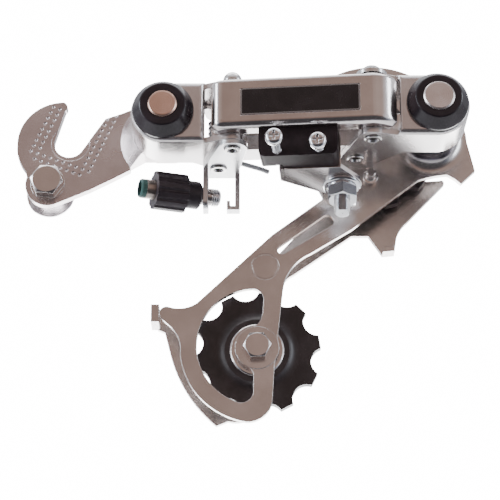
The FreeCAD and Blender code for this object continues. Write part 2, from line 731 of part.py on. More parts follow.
def return_spring():
    """Torsion coil round the rear B pin, its lower leg running out inboard of the rear link."""
    radius = size("return_coil_radius")
    wire = size("return_wire_radius")
    pitch = size("return_pitch")
    turns = 6
    steps = 12
    path = []
    for k in range(turns * steps, -1, -1):
        angle = -2 * math.pi * k / steps
        path.append(Vector(radius * math.cos(angle), radius * math.sin(angle), pitch * k / steps))
    path += [Vector(3.1, 2.4, -0.05), Vector(4.6, 6.6, -0.05), Vector(9.4, 11.4, 0), Vector(16.9, 17.4, 0)]
    curve = Part.BSplineCurve()
    curve.interpolate(path)
    spine = curve.toShape()
    section = Part.makeCircle(wire, path[-1], spine.tangentAt(spine.LastParameter))
    spring = doc.addObject("Part::Feature", "return_spring")
    spring.Shape = Part.Wire([spine]).makePipeShell([Part.Wire([section])], True, True)
    place(spring, "dims.front_pivot_x + dims.pivot_offset_x",
          "dims.front_pivot_y + dims.pivot_offset_y", "dims.return_level")
    return keep(spring, "return_spring")


# ---------- limit block, screws and cable anchor ----------

def limit_block():
    left = size("block_left")
    right = left + size("block_length")
    top = -size("link_half")
    bottom = top - size("block_height")
    back = size("block_front") + size("block_depth")
    body = new_body("limit_block")
    sketch = new_sketch(body, "XZ_Plane", f"-({back})")
    corner = size("block_round")
    near = 0.3 * corner
    outline(sketch, (left, top), [
        (left, bottom + corner),
        (left + near, bottom + near, left + corner, bottom),
        (right - corner, bottom),
        (right - near, bottom + near, right, bottom + corner),
        (right, top)])
    pad(body, sketch, "dims.block_depth")
    drop = size("screw_drop")
    holes = new_sketch(body, "XZ_Plane", f"-({back})")
    for x in (size("low_screw_x"), size("high_screw_x")):
        circle(holes, x, -drop, "dims.screw_radius + dims.running_gap")
    pocket(body, holes, "dims.block_depth")
    step = new_sketch(body, "XZ_Plane", f"-({back})")
    rectangle(step, left - 1, bottom - 1, left + 7.2, bottom + 0.9)
    pocket(body, step, "2.6")
    place_on_front_link(body)
    return keep(body, "limit_block")


def limit_screw(label, x, out):
    """Pan-head screw with a cross recess, its axis inboard through the block."""
    front = size("block_front") - out
    body = new_body(label)
    shank = new_sketch(body, "XZ_Plane", "-dims.block_front - dims.screw_inside")
    circle(shank, 0, 0, "dims.screw_radius")
    pad(body, shank, "dims.screw_inside")
    root = new_sketch(body, "XZ_Plane", "-dims.block_front")
    circle(root, 0, 0, "dims.screw_root_radius")
    pad(body, root, str(out))
    head = new_sketch(body, "XZ_Plane", f"-({front})")
    circle(head, 0, 0, "dims.screw_head_radius")
    pad(body, head, "dims.screw_head_height")
    rim = front - size("screw_head_height")
    round_edges(body, "1.5", lambda edge: along_y(edge, rim))
    cross = new_sketch(body, "XZ_Plane", f"-({rim})")
    arm, half = 1.7, 0.4
    outline(cross, (arm, -half), [
        (arm, half), (half, half), (half, arm), (-half, arm), (-half, half), (-arm, half),
        (-arm, -half), (-half, -half), (-half, -arm), (half, -arm), (half, -half)])
    pocket(body, cross, "1.3", backwards=True)
    body.Placement.Rotation = FreeCAD.Rotation(Vector(0, 0, 1), size("link_angle"))
    body.setExpression("Placement.Rotation.Angle", "dims.link_angle")
    place(body, f"dims.front_pivot_x + {x} * cos(dims.link_angle)",
          f"dims.front_pivot_y + {x} * sin(dims.link_angle)", "dims.axis_z - dims.screw_drop")
    return keep(body, label)


def anchor_place(obj):
    """Stand a piece on the cable arm: local Z is the bolt's axis, pointing up."""
    tilt = size("arm_tilt")
    turn = FreeCAD.Rotation(Vector(0, 0, 1), size("link_angle"))
    lean = FreeCAD.Rotation(Vector(1, 0, 0), -tilt)
    back = size("block_front") + size("block_depth")
    fall = (size("anchor_n") - back) * math.tan(math.radians(tilt))
    local = Vector(size("anchor_x"), size("anchor_n"), -size("arm_drop") - fall)
    origin = Vector(size("front_pivot_x"), size("front_pivot_y"), size("axis_z"))
    obj.Placement = FreeCAD.Placement(origin + turn.multVec(local), turn.multiply(lean))


def anchor_pieces():
    """Anchor bolt from above, with a domed washer and a nut below the arm."""
    radius = size("anchor_radius")
    washer = size("anchor_washer_radius")
    arm = size("arm_thick")
    seat = -2.0
    end = seat - size("anchor_nut_height")
    tip = end - size("anchor_stud")
    root = size("anchor_root_radius")
    bolt = turned("anchor_bolt", "Z", (0, arm + 2.2), [
        (3.9, arm + 2.2), (4.4, arm + 1.7), (4.4, arm), (radius, arm),
        (radius, end), (root, end), (root, tip + 0.9), (root - 0.6, tip), (0, tip)])
    anchor_place(bolt)
    keep(bolt, "anchor_bolt")
    disc = turned("anchor_washer", "Z", (radius, 0), [
        (washer, 0), (washer, -0.7), (washer - 0.5, -1.25, washer - 1.5, -1.5),
        (4.6, seat), (radius, seat)])
    anchor_place(disc)
    keep(disc, "anchor_washer")
    anchor_nut(seat, end)


def anchor_nut(seat, end):
    """Hex nut under the washer, its lower corners trimmed by a cone."""
    flats = size("anchor_nut_flats")
    corner = flats / math.sqrt(3)
    round_face = 0.47 * flats
    nut = new_body("anchor_nut")
    sketch = new_sketch(nut, "XY_Plane", f"{seat}")
    hexagon(sketch, 0, 0, flats, 36)
    circle(sketch, 0, 0, "dims.anchor_radius")
    pad(nut, sketch, "dims.anchor_nut_height", backwards=True)
    trim = new_sketch(nut, "XZ_Plane")
    outline(trim, (round_face, end - 0.1), [
        (round_face, end), (corner + 0.2, end + 0.5), (corner + 0.2, end - 0.1)])
    groove = nut.newObject("PartDesign::Groove", "anchor_nut_trim")
    groove.Profile = trim
    groove.ReferenceAxis = (trim, ["V_Axis"])
    groove.Angle = 360
    doc.recompute()
    anchor_place(nut)
    keep(nut, "anchor_nut")


# ---------- cable stop bracket and barrel adjuster ----------

def cable_bracket():
    """Bracket under the lower ear, held by both B pins: a cheek for the adjuster and a hooked strap."""
    lug = 4.9
    thick = size("bracket_thick")
    front_x, front_y = size("front_pivot_x"), size("front_pivot_y")
    rear_x = front_x + size("pivot_offset_x")
    rear_y = front_y + size("pivot_offset_y")
    left, right = size("bracket_left"), size("bracket_right")
    back, front = size("bracket_back"), size("bracket_front")
    top = size("axis_z") - size("ear_inner") - size("ear_thick")
    bottom = size("bracket_bottom")
    turn = math.degrees(math.atan2(size("pivot_offset_y"), size("pivot_offset_x"))) - 90
    body = new_body("cable_bracket")
    flange = new_sketch(body, "XY_Plane", str(top))
    outline(flange, polar(front_x, front_y, lug, turn + 180), [
        polar(front_x, front_y, lug, -90) + polar(front_x, front_y, lug, turn),
        (right, front + 0.8),
        (right, back),
        (left, back),
        (left, front),
    ])
    pad(body, flange, "dims.bracket_thick", backwards=True)
    pocket_holes = new_sketch(body, "XY_Plane")
    circle(pocket_holes, front_x, front_y, "dims.pin_radius")
    circle(pocket_holes, rear_x, rear_y, "dims.pin_radius")
    pocket(body, pocket_holes, "60", midplane=True)
    cheek = new_sketch(body, "YZ_Plane", "dims.bracket_left")
    outline(cheek, (back, top), [
        (front, top), (front, bottom + 2.5), (front + 0.7, bottom + 0.7, front + 2.5, bottom),
        (back - 2.5, bottom), (back - 0.7, bottom + 0.7, back, bottom + 2.5)])
    yaw = math.radians(size("adjuster_yaw"))
    across = (left + size("cheek_thick") / 2 - size("adjuster_x")) * math.tan(yaw)
    circle(cheek, size("adjuster_y") + across, size("adjuster_z"), "dims.tube_radius + 0.6")
    pad(body, cheek, "dims.cheek_thick")
    strap = new_sketch(body, "YZ_Plane", "dims.bracket_right")
    low = bottom + 0.8
    strap_front = size("strap_front")
    outline(strap, (back, top), [(strap_front, top), (strap_front, low), (back, low)])
    pad(body, strap, "dims.bracket_thick", backwards=True)
    hook = new_sketch(body, "YZ_Plane", "dims.bracket_right - dims.bracket_thick")
    rectangle(hook, strap_front, low, back, low + 1.3)
    pad(body, hook, "1.7", backwards=True)
    hook_tip = new_sketch(body, "YZ_Plane", "dims.bracket_right - dims.bracket_thick - 1.7")
    rectangle(hook_tip, strap_front, low, back, low + 3.2)
    pad(body, hook_tip, "1.1", backwards=True)
    return keep(body, "cable_bracket")


def adjuster_place(obj):
    obj.Placement.Rotation = FreeCAD.Rotation(Vector(0, 0, 1), size("adjuster_yaw"))
    obj.setExpression("Placement.Rotation.Angle", "dims.adjuster_yaw")
    place(obj, "dims.adjuster_x", "dims.adjuster_y", "dims.adjuster_z")


def adjuster_pieces():
    """Threaded tube, fluted knob, housing ferrule and its seal, along local X."""
    tube = size("tube_radius")
    bore = size("tube_bore")
    housing = size("housing_radius")
    root = size("tube_root_radius")
    screw = turned("adjuster_screw", "X", (-14.0, bore), [
        (-14.0, tube), (2.0, tube), (2.0, root), (4.6, root), (5.0, root - 0.4), (5.0, bore)])
    adjuster_place(screw)
    keep(screw, "adjuster_screw")

    grip = size("knob_radius")
    shell = new_body("adjuster_knob")
    section = new_sketch(shell, "YZ_Plane", "dims.knob_left")
    flutes = 12
    outer = []
    for k in range(flutes):
        turn = k * 360 / flutes
        outer.append(polar(0, 0, grip, turn + 4) + polar(0, 0, grip, turn + 10))
        outer.append(polar(0, 0, grip - 0.55, turn + 17) + polar(0, 0, grip, turn + 24))
        outer.append(polar(0, 0, grip, turn + 27) + polar(0, 0, grip, turn + 30))
    outline(section, polar(0, 0, grip, 0), outer)
    circle(section, 0, 0, "3.45")
    pad(shell, section, "dims.knob_length")
    neck, end = size("knob_neck_radius"), -2.0
    start = size("knob_left") + size("knob_length") - 0.3
    clear = size("tube_radius") + size("running_gap")
    collar = new_sketch(shell, "XY_Plane")
    outline(collar, (start, clear), [(start, neck), (end - 0.6, neck), (end, neck - 0.6), (end, clear)])
    revolve(shell, collar, "H_Axis")
    floor = new_sketch(shell, "YZ_Plane", "dims.knob_left + dims.knob_length - 3.4")
    circle(floor, 0, 0, "3.6")
    circle(floor, 0, 0, "dims.tube_radius + dims.running_gap")
    pad(shell, floor, "3.4")
    adjuster_place(shell)
    keep(shell, "adjuster_knob")

    mouth = size("ferrule_left")
    ferrule = turned("housing_ferrule", "X", (mouth, housing), [
        (mouth, 3.3), (-14.1, 3.3), (-14.1, bore), (-15.0, bore), (-15.0, housing)])
    adjuster_place(ferrule)
    keep(ferrule, "housing_ferrule")
    tip = mouth - size("seal_length")
    seal = turned("ferrule_seal", "X", (tip, housing), [
        (tip, 2.95), (tip + 0.5, 3.25), (mouth, 3.25), (mouth, housing)])
    adjuster_place(seal)
    keep(seal, "ferrule_seal")


# ---------- cage ----------

def outer_cage_plate():
    """Long outer plate: spring cup at the P axle, slotted arm, window round the lower wheel."""
    p_x, p_z = size("p_axis_x"), size("axis_z")
    g_x, g_z = size("guide_x"), size("guide_z")
    t_x, t_z = size("tension_x"), size("tension_z")
    boss = 7.0
    rim = size("p_plate_radius")
    body = new_body("outer_plate")
    sketch = new_sketch(body, "XZ_Plane", "-dims.outer_face - dims.cage_thick")
    outline(sketch, (119.5, -14.0), [
        (96.5, -32.0),
        (82.5, -40.7),
        (75.6, -46.7, 73.2, -53.5),
        (70.2, -80.0),
        (69.5, -91.5),
        (67.2, -96.6, 61.0, -99.0),
        (47.4, -92.4, 39.2, -76.5),
        (38.3, -70.0, 34.6, -65.3),
        (32.6, -63.4),
        (32.2, -61.2, 34.9, -59.6),
        (39.5, -60.2, 44.6, -58.3),
        (69.6, -34.1),
        (86.5, -21.3),
        polar(g_x, g_z, 9.0, 158),
        polar(g_x, g_z, 9.0, 125) + polar(g_x, g_z, 9.0, 92),
        polar(p_x, p_z, rim, 118),
        polar(p_x, p_z, rim, 50) + polar(p_x, p_z, rim, -2),
        (139.1, -10.5),
        (134.1, -15.3),
        (132.1, -13.5),
        (129.5, -11.9),
        (125.6, -12.4, 119.5, -14.0),
    ])
    circle(sketch, g_x, g_z, "dims.wheel_bolt_radius")
    circle(sketch, t_x, t_z, "dims.wheel_bolt_radius")
    circle(sketch, p_x, p_z, "dims.cup_radius + 1.2")
    pad(body, sketch, "dims.cage_thick")
    window = new_sketch(body, "XZ_Plane", "-dims.outer_face - dims.cage_thick")
    outline(window, (62.9, -53.2), [
        (51.1, -58.2, 44.7, -71.0),
        (47.0, -82.8, 57.5, -92.2),
        (61.5, -91.9, 63.2, -88.0),
        (63.3, -84.2),
        (62.7, -81.6, 61.0, -80.0),
        (t_x - boss, t_z + 0.4, 62.4, -67.2),
        (65.2, -65.0, 66.3, -62.0),
        (66.6, -58.0),
        (65.7, -54.5, 62.9, -53.2),
    ])
    pocket(body, window, "dims.cage_thick")
    arm_slot = new_sketch(body, "XZ_Plane", "-dims.outer_face - dims.cage_thick")
    slot_outline(arm_slot, 72.9, -39.4, 1.5, 88.3, -29.0, 2.2)
    pocket(body, arm_slot, "dims.cage_thick")
    rest = new_sketch(body, "XZ_Plane", "-dims.outer_face")
    circle(rest, t_x, t_z, "7.3")
    circle(rest, t_x, t_z, "dims.wheel_bolt_radius")
    pad(body, rest, "0.45")
    mark = new_sketch(body, "XZ_Plane", "-dims.outer_face")
    circle(mark, 67.2, -45.4, "4.7")
    circle(mark, 67.2, -45.4, "4.2")
    pocket(body, mark, "0.06", backwards=True)
    cup = turned("spring_cup", "Y", cup_profile()[0], cup_profile()[1])
    place(cup, "dims.p_axis_x", "0", "dims.axis_z")
    plate = doc.addObject("Part::Fuse", "outer_cage_plate")
    plate.Base = body
    plate.Tool = cup
    return keep(plate, "outer_cage_plate")


def cup_profile():
    """Drawn cup: closed face against the lower body, open at the plate, with a flared root."""
    outside = size("cup_radius")
    wall = size("cup_wall")
    lip = size("outer_face") + size("cage_thick")
    front = size("p_back") + size("face_gap")
    hole = size("axle_radius")
    root = size("outer_face")
    flare = size("cup_flare")
    bend = flare * (1 - math.sqrt(0.5))
    return (hole, front), [
        (outside - 1.2, front),
        (outside - 0.35, front + 0.35, outside, front + 1.2),
        (outside, root - flare),
        (outside + bend, root - bend, outside + flare, root),
        (outside + flare, root + 0.5),
        (outside + 1.0, lip),
        (outside - wall, root - 2.0),
        (outside - wall, front + wall),
        (hole, front + wall),
    ]


def slot_outline(sketch, x1, y1, radius1, x2, y2, radius2):
    """Round-ended slot between two centres, wider at the second."""
    along = math.degrees(math.atan2(y2 - y1, x2 - x1))
    outline(sketch, polar(x1, y1, radius1, along + 90), [
        polar(x1, y1, radius1, along + 180) + polar(x1, y1, radius1, along - 90),
        polar(x2, y2, radius2, along - 90),
        polar(x2, y2, radius2, along) + polar(x2, y2, radius2, along + 90),
    ])


def inner_cage_plate():
    """Inner plate: round chain guard behind the guide wheel, arm, and a hook round the lower wheel."""
    t_x, t_z = size("tension_x"), size("tension_z")
    body = new_body("inner_cage_plate")
    sketch = new_sketch(body, "XZ_Plane", "-dims.inner_face - dims.cage_thick")
    guard_x, guard_z, guard = 105.8, 5.1, 29.2
    outline(sketch, polar(guard_x, guard_z, guard, -12), [
        (119.0, -7.6),
        (118.0, -10.3),
        (128.0, -9.7),
        (129.4, -10.0, 129.2, -11.4),
        (115.9, -25.6),
        (113.3, -28.8, 112.3, -32.2),
        (111.5, -37.0),
        (107.4, -37.4),
        (102.8, -30.4),
        (97.0, -30.4),
        (76.9, -44.6),
        (72.7, -48.5, 71.4, -55.0),
        (70.4, -66.0),
        (71.4, t_z, 69.4, -81.0),
        (68.0, -88.0),
        (63.6, -94.4, 55.0, -96.0),
        (51.0, -97.6),
        (41.5, -86.5, 35.6, -73.0),
        (33.6, -65.2),
        (31.2, -64.2),
        (31.2, -58.2),
        (38.0, -57.6),
        (42.4, -61.6, 43.4, -68.0),
        (46.8, -85.4, 58.4, -92.6),
        (61.6, -90.6),
        (62.2, -81.2),
        (t_x - 7.0, t_z, 62.6, -66.8),
        (64.6, -60.0),
        (65.8, -52.6, 66.4, -46.0),
        (72.0, -37.0),
        (84.0, -23.5),
        (88.5, -18.0),
        (84.0, -9.0),
        polar(guard_x, guard_z, guard, 196),
        polar(guard_x, guard_z, guard, 90) + polar(guard_x, guard_z, guard, -12),
    ])
    circle(sketch, size("guide_x"), size("guide_z"), "dims.wheel_bolt_radius")
    circle(sketch, t_x, t_z, "dims.wheel_bolt_radius")
    pad(body, sketch, "dims.cage_thick")
    tab = new_sketch(body, "XZ_Plane", "-dims.inner_face - 0.5")
    rectangle(tab, 29.2, -64.2, 31.9, -58.2)
    pad(body, tab, "9.3")
    foot = new_sketch(body, "XZ_Plane", "-dims.inner_face - 0.5")
    outline(foot, (107.4, -37.4), [(111.5, -37.0), (111.3, -35.2), (107.7, -35.6)])
    pad(body, foot, "4.0")
    return keep(body, "inner_cage_plate")


def cage_stop_pin():
    """Stepped pin riveted to the outer plate; its tip rests under the lower body's tab."""
    base = size("stop_base_radius")
    tip = size("stop_radius")
    face = size("outer_face")
    end = face - size("stop_length")
    body = turned("cage_stop_pin", "Y", (0, end), [
        (tip - 0.3, end), (tip, end + 0.3), (tip, face - 2.2), (base, face - 2.0),
        (base, face), (0, face)])
    place(body, "dims.stop_x", "0", "dims.stop_z")
    return keep(body, "cage_stop_pin")


# ---------- jockey wheels ----------

def jockey_wheel(label, x, z, phase):
    """Ten-tooth wheel: rounded valleys between flat tips, dished sides, plain bore."""
    teeth = int(size("teeth"))
    pitch = 360 / teeth
    tip = size("tip_radius")
    root = size("valley_circle") - size("valley_radius")
    edge = 6.0
    rim = []
    for k in range(teeth):
        centre = k * pitch + phase
        rim.append(polar(0, 0, tip, centre + edge))
        valley = polar(0, 0, root, centre + pitch / 2)
        rim.append(valley + polar(0, 0, tip, centre + pitch - edge))
    body = new_body(label)
    sketch = new_sketch(body, "XZ_Plane")
    outline(sketch, polar(0, 0, tip, phase - edge), rim)
    circle(sketch, 0, 0, "dims.wheel_bore")
    pad(body, sketch, "dims.tooth_thick", midplane=True)
    half = size("tooth_thick") / 2
    hub_half = size("hub_half")
    hub, web, bore = size("hub_radius"), size("web_radius"), size("wheel_bore")
    profile = new_sketch(body, "XY_Plane")
    outline(profile, (bore, -hub_half), [
        (hub, -hub_half),
        (hub + 1.4, -half - 0.5, web, -half),
        (web, half),
        (hub + 1.4, half + 0.5, hub, hub_half),
        (bore, hub_half)])
    revolve(body, profile, "V_Axis")
    place(body, x, "dims.pulley_middle", z)
    return keep(body, label)


def wheel_sleeve(label, x, z):
    body = turned(label, "Y", *ring_profile(
        size("wheel_bolt_radius"), size("wheel_sleeve_radius"), -4.25, 4.25))
    place(body, x, "dims.pulley_middle", z)
    return keep(body, label)


def dust_caps(label, x, z):
    """A dished steel cap on each side of a wheel, clamped by nothing and free to turn."""
    inner = size("wheel_sleeve_radius") + size("running_gap")
    outer = size("dust_cap_radius")
    near = size("hub_half") + 0.1
    far = near + size("dust_cap_thick")
    halves = []
    for side in (-1, 1):
        disc = turned(f"{label}_{'outer' if side < 0 else 'inner'}", "Y", (inner, side * near), [
            (outer, side * near), (outer, side * (near + 0.5)), (outer - 0.5, side * far),
            (inner, side * far)])
        place(disc, x, "dims.pulley_middle", z)
        halves.append(disc)
    pair = doc.addObject("Part::Compound", label)
    pair.Links = halves
    return keep(pair, label)


def wheel_bolt(label, x, z, level, head_height, turn):
    """Hex bolt through the outer plate and sleeve, threaded into the inner plate."""
    body = new_body(label)
    reach = size("inner_face") + size("cage_thick") + 0.8
    shank = new_sketch(body, "XZ_Plane", str(-reach))
    circle(shank, 0, 0, "dims.wheel_bolt_radius")
    pad(body, shank, f"{reach} + {level}")
    hex_head(body, level, "wheel_bolt_flats", head_height, turn)
    place(body, x, "0", z)
    return keep(body, label)


# ---------- build ----------

def build():
    hanger_plate()
    hanger_bolt()
    hanger_nut()
    b_front, b_back = size("b_front"), size("b_back")
    p_front, p_back = size("p_front"), size("p_back")
    gap = size("face_gap")
    b_head, p_head = size("b_head_radius"), size("p_head_radius")
    axle_bolt("b_axle_bolt", b_head, b_front, 3.4, "dims.b_axis_x")
    axle_cap("b_cap", b_head, b_front, "dims.b_axis_x")
    axle_bushing("b_bushing", b_front, b_back, "dims.b_axis_x")
    axle_spring("b_spring", "dims.b_front + dims.wall_thick + 2.2", "dims.b_axis_x")
    lock_nut("b_lock_nut", "0", 12.0, "dims.b_axis_x")
    b_knuckle()
    axle_bolt("p_axle_bolt", p_head, p_front, p_back + 6.2, "dims.p_axis_x")
    axle_cap("p_cap", p_head, p_front, "dims.p_axis_x")
    axle_bushing("p_bushing", p_front, p_back, "dims.p_axis_x")
    axle_spring("p_spring", "dims.p_front + dims.wall_thick + 1.2", "dims.p_axis_x")
    lock_nut("p_lock_nut", f"{p_back + gap + size('cup_wall')}", 10.5, "dims.p_axis_x")
    p_knuckle()

    front_x, front_y, rear_x, rear_y = p_pivots()
    bracket = size("bracket_thick")
    pivot_pin("pivot_pin_front_b", "dims.front_pivot_x", "dims.front_pivot_y", "tall dome", bracket)
    pivot_pin("pivot_pin_rear_b", "dims.front_pivot_x + dims.pivot_offset_x",
              "dims.front_pivot_y + dims.pivot_offset_y", "dome", bracket)
    pivot_pin("pivot_pin_front_p", str(front_x), str(front_y), "cone", 0.0)
    pivot_pin("pivot_pin_rear_p", str(rear_x), str(rear_y), "cone", 0.0)
    front_link()
    link_badge()
    rear_link()
    return_spring()
    limit_block()
    limit_screw("limit_screw_low", size("low_screw_x"), size("low_screw_out"))
    limit_screw("limit_screw_high", size("high_screw_x"), size("high_screw_out"))
    anchor_pieces()
    cable_bracket()
    adjuster_pieces()

    outer_cage_plate()
    inner_cage_plate()
    cage_stop_pin()
    for name, x, z, rest, turn, phase in (("guide", "dims.guide_x", "dims.guide_z", "0", 10, 0),
                                          ("tension", "dims.tension_x", "dims.tension_z", "0.45", 3, 10)):
        jockey_wheel(f"{name}_pulley", x, z, phase)
        wheel_sleeve(f"{name}_bushing", x, z)
        dust_caps(f"{name}_dust_caps", x, z)
        wheel_bolt(f"{name}_bolt", x, z, f"-dims.outer_face + {rest}", "3.4", turn)


def check_and_write():
    doc.recompute()
    for obj in doc.Objects:
        if "Invalid" in obj.State or "Error" in obj.State:
            raise ValueError(f"{obj.Name} failed: {obj.State}")
    os.makedirs("parts", exist_ok=True)
    for node in NODES:
        shape = node.Shape
        if shape.isNull() or not shape.isValid() or not shape.Solids:
            raise ValueError(f"{node.Label} has no valid solid")
        shape.exportStep(f"parts/{node.Label}.step")
        print(f"{node.Label}: {len(shape.Solids)} solid(s), {shape.Volume:.1f} mm3")


build()
check_and_write()
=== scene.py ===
import json
import math

import bpy
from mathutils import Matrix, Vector


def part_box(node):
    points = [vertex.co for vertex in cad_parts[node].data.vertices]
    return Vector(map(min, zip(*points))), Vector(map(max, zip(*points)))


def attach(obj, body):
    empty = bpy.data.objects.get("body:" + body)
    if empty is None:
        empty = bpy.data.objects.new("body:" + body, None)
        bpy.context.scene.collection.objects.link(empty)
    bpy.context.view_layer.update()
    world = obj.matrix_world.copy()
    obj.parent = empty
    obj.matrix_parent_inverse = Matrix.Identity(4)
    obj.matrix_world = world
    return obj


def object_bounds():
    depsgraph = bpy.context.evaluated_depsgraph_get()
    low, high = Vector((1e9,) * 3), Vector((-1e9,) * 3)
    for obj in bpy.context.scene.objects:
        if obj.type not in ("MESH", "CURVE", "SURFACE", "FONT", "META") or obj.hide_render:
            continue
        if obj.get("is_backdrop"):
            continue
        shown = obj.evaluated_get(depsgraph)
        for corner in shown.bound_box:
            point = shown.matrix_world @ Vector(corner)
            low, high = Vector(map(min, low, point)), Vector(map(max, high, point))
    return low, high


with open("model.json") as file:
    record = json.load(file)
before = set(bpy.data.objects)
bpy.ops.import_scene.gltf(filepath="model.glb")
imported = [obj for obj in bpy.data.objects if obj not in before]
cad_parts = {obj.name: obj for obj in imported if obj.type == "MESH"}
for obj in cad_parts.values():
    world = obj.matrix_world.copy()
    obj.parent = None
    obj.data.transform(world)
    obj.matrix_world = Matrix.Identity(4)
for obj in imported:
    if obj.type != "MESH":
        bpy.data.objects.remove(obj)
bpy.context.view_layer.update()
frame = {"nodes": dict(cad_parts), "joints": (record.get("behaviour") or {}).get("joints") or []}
MM = 0.001
JOINTS = {joint["name"]: joint for joint in frame["joints"]}

# Cable anchor, measured from the front B pivot in the front link's axes, in mm
ANCHOR_TILT = math.radians(12)      # lean of its axis and of the arm that holds it
ANCHOR_REACH = (35.4, 13.7)         # along and across the link
ARM_DEPTH = 19                      # the arm's level part, below the pivot's middle
ARM_SLOPE = 10.2                    # how far across the link its leaning part has come
ANCHOR_DROP = ARM_DEPTH + ARM_SLOPE * math.tan(ANCHOR_TILT)
ANCHOR_THREAD_START = 6.4           # below the anchor, where the stud leaves its nut

# Threads; every length in mm
LIMIT_SCREWS = (("low", "low_screw", 9.6), ("high", "high_screw", 5.2))   # name, body, bare shank
BARREL_THREAD_START = 12.0          # along the adjuster's axis from its pivot


def pivot(name):
    return Vector(JOINTS[name]["pos_m"])


def middle(node):
    low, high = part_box(node)
    return (low + high) / 2


LINK_TURN = math.atan2(pivot("p_knuckle_pivot").y - pivot("front_link_pivot").y,
                       pivot("p_knuckle_pivot").x - pivot("front_link_pivot").x)


# ---------- materials ----------

MIX_A, MIX_B, MIX_RESULT = 6, 7, 2      # colour sockets of a Mix node

# Noise scales, per metre
PATCH_SCALE, DUST_SCALE, SCRATCH_SCALE = 90.0, 160.0, 420.0
PIT_SCALE, GRAIN_SCALE, TEXTURE_SCALE = 2000.0, 2600.0, 3500.0

# Heights of the surface's relief, in metres
SCRATCH_HEIGHT, GRAIN_HEIGHT, LATHE_HEIGHT, PIT_HEIGHT = 0.00004, 0.00005, 0.00006, 0.0001


class Nodes:
    """Small wrapper for building a shader from named nodes and links."""

    def __init__(self, name):
        self.material = bpy.data.materials.new(name)
        self.material.use_nodes = True
        self.tree = self.material.node_tree
        self.tree.nodes.clear()
        self.output = self.add("ShaderNodeOutputMaterial")
        self.shader = self.add("ShaderNodeBsdfPrincipled")
        self.link(self.shader, "BSDF", self.output, "Surface")
        self.coords = self.add("ShaderNodeTexCoord")

    def add(self, kind, **values):
        node = self.tree.nodes.new(kind)
        for key, value in values.items():
            if hasattr(node, key):
                setattr(node, key, value)
            else:
                node.inputs[key.replace("_", " ")].default_value = value
        return node

    def link(self, source, output, target, socket):
        self.tree.links.new(source.outputs[output], target.inputs[socket])

    def feed(self, value, socket):
        """Give a socket another node's output, or a plain value."""
        if isinstance(value, bpy.types.NodeSocket):
            self.tree.links.new(value, socket)
        else:
            socket.default_value = value

    def mix(self, factor, first, second, blend="MIX"):
        """Colour between first and second, each an output or a plain colour."""
        mix = self.add("ShaderNodeMix", data_type="RGBA", blend_type=blend)
        self.feed(factor, mix.inputs["Factor"])
        self.feed(first, mix.inputs[MIX_A])
        self.feed(second, mix.inputs[MIX_B])
        return mix.outputs[MIX_RESULT]

    def paint_over(self, factor, colour, blend="MIX"):
        """Lay a colour over the shader's base colour."""
        base = self.shader.inputs["Base Color"]
        self.feed(self.mix(factor, base.links[0].from_socket, colour, blend), base)

    def mapped(self, scale):
        mapping = self.add("ShaderNodeMapping")
        mapping.inputs["Scale"].default_value = scale
        self.link(self.coords, "Object", mapping, "Vector")
        return mapping

    def noise(self, scale, detail=4.0, stretch=(1, 1, 1)):
        noise = self.add("ShaderNodeTexNoise", Scale=scale, Detail=detail)
        self.link(self.mapped(stretch), "Vector", noise, "Vector")
        return noise

    def ramp(self, source, output, low, high):
        ramp = self.add("ShaderNodeValToRGB")
        first, last = ramp.color_ramp.elements
        first.position, first.color = low
        last.position, last.color = high
        self.link(source, output, ramp, "Fac")
        return ramp

    def remap(self, source, output, low, high):
        """0..1 stretched to low..high."""
        remap = self.add("ShaderNodeMapRange", To_Min=low, To_Max=high)
        self.link(source, output, remap, "Value")
        return remap

    def step(self, source, output, low, high, interpolation="LINEAR"):
        """0 where the source is at low, 1 at high."""
        step = self.add("ShaderNodeMapRange", interpolation_type=interpolation,
                        From_Min=low, From_Max=high)
        self.link(source, output, step, "Value")
        return step

    def scalar_math(self, operation, source, output, second=None):
        """A Math node on one output and, if given, an output or a number."""
        node = self.add("ShaderNodeMath", operation=operation)
        self.link(source, output, node, 0)
        if second is not None:
            self.feed(second, node.inputs[1])
        return node

    def vector_math(self, operation, source, output, second=None):
        """A Vector Math node on one output and, if given, a constant vector."""
        node = self.add("ShaderNodeVectorMath", operation=operation)
        self.link(source, output, node, 0)
        if second is not None:
            node.inputs[1].default_value = second
        return node

    def bump_over(self, source, output, strength, distance):
        """One more layer of bump on top of what the shader's normal already has."""
        bump = self.add("ShaderNodeBump", Strength=strength, Distance=distance)
        self.link(source, output, bump, "Height")
        before = self.shader.inputs["Normal"].links
        if before:
            self.tree.links.new(before[0].from_socket, bump.inputs["Normal"])
        self.link(bump, "Normal", self.shader, "Normal")


def grey(value, tint=(1, 1, 1)):
    return tuple(value * t for t in tint) + (1.0,)


def ease_edges(n, radius):
    easing = n.add("ShaderNodeBevel", samples=6, Radius=radius * MM)
    n.link(easing, "Normal", n.shader, "Normal")


